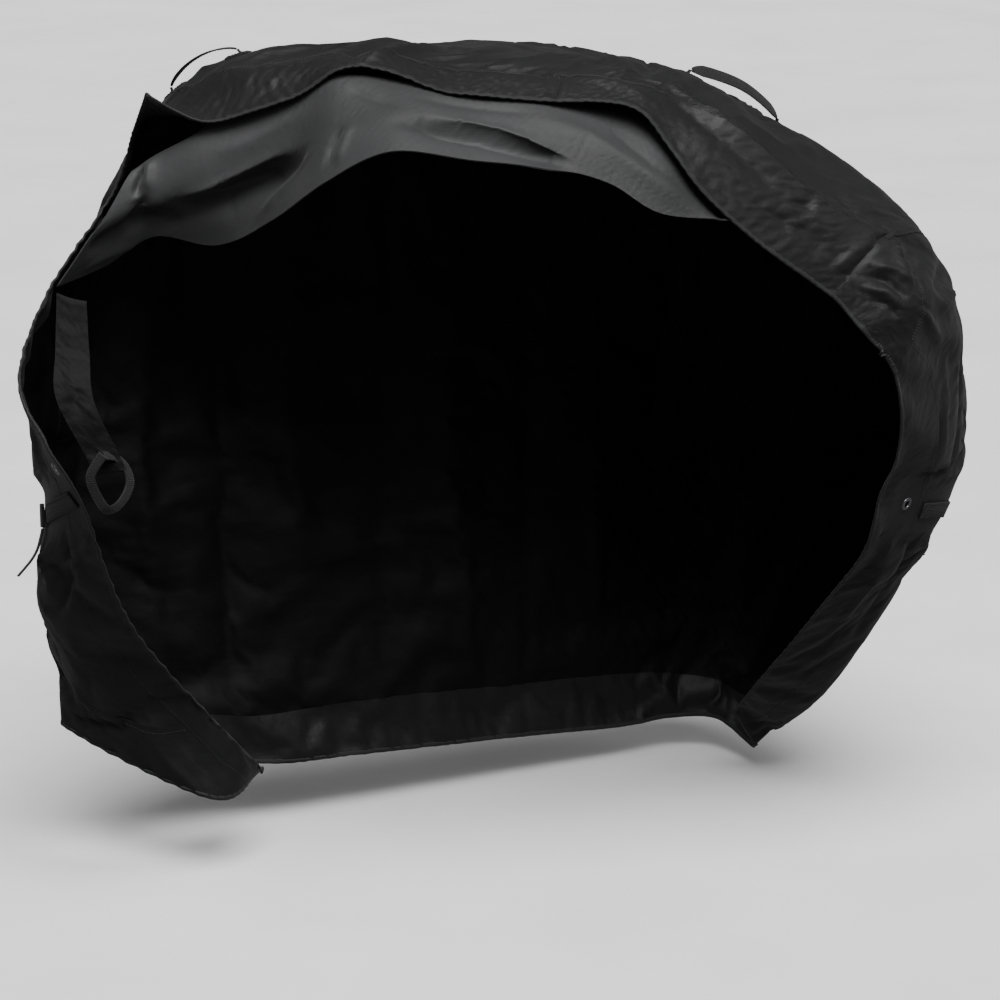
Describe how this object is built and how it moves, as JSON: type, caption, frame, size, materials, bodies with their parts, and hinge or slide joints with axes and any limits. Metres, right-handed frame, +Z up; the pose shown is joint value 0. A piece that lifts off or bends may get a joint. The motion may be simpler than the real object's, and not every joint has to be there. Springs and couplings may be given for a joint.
{
  "type": "grill cover",
  "caption": "Black fabric cover for a gas grill, draped with its front folded up over the hood, with carry handles, cinch straps with ladder locks and hem eyelets.",
  "frame": {"origin": "where the top of the grill's hood carries the cloth", "axes": "+X to the viewer's right along the grill's front, -Y out of the open front, +Z up"},
  "size_m": [1.3513, 0.6998, 1.1373],
  "materials": {
    "shell_cloth": "coated polyester taffeta, satin",
    "lining": "smooth coated lining side, satin",
    "binding_tape": "woven edge tape",
    "webbing": "ribbed polyester webbing",
    "lock_plastic": "moulded acetal",
    "eyelet_metal": "blackened brass"
  },
  "bodies": {
    "cover": {"back_binding": "binding_tape", "back_hem": "shell_cloth", "back_panel": "shell_cloth", "front_binding": "binding_tape", "front_drop": "lining", "front_fold": "lining", "front_hem_left": "shell_cloth", "front_hem_middle": "shell_cloth", "front_hem_right": "shell_cloth", "left_binding": "binding_tape", "left_eyelet": "eyelet_metal", "left_handle_patches": "webbing", "left_hem": "shell_cloth", "left_seam": "shell_cloth", "left_side_panel": "shell_cloth", "left_strap_long": "webbing", "left_strap_short": "webbing", "rear_seam": "shell_cloth", "right_binding": "binding_tape", "right_eyelet": "eyelet_metal", "right_handle_patches": "webbing", "right_hem": "shell_cloth", "right_seam": "shell_cloth", "right_side_panel": "shell_cloth", "right_strap_long": "webbing", "right_strap_short": "webbing", "top_panel": "shell_cloth"},
    "left_handle": {"left_handle": "webbing"},
    "right_handle": {"right_handle": "webbing"},
    "left_lock": {"left_ladder_lock": "lock_plastic"},
    "right_lock": {"right_ladder_lock": "lock_plastic"},
    "left_tail": {"left_strap_tail": "webbing"},
    "right_tail": {"right_strap_tail": "webbing"}
  },
  "joints": [
    {"name": "left_handle_swing", "type": "hinge", "parent": "cover", "child": "left_handle", "pos_m": [-0.37862, 0.25733, 0.01322], "axis": [0.7166, -0.4871, 0.4991], "range_deg": [-25, 25]},
    {"name": "right_handle_swing", "type": "hinge", "parent": "cover", "child": "right_handle", "pos_m": [0.24608, -0.06279, 0.02981], "axis": [0.8507, -0.1717, -0.4967], "range_deg": [-60, 0]},
    {"name": "left_lock_tilt", "type": "hinge", "parent": "cover", "child": "left_lock", "pos_m": [-0.60078, 0.21899, -0.54663], "axis": [-0.1015, -0.2479, -0.9635], "range_deg": [0, 30]},
    {"name": "right_lock_tilt", "type": "hinge", "parent": "cover", "child": "right_lock", "pos_m": [0.65331, -0.02385, -0.62491], "axis": [0.325, 0.0072, 0.9457], "range_deg": [0, 30]},
    {"name": "left_tail_swing", "type": "hinge", "parent": "left_lock", "child": "left_tail", "pos_m": [-0.60898, 0.20156, -0.55945], "axis": [0.3016, 0.9152, -0.2672], "range_deg": [0, 60]},
    {"name": "right_tail_swing", "type": "hinge", "parent": "right_lock", "child": "right_tail", "pos_m": [0.64863, -0.03907, -0.64169], "axis": [-0.059, -0.9979, 0.0279], "range_deg": [0, 60]}
  ]
}
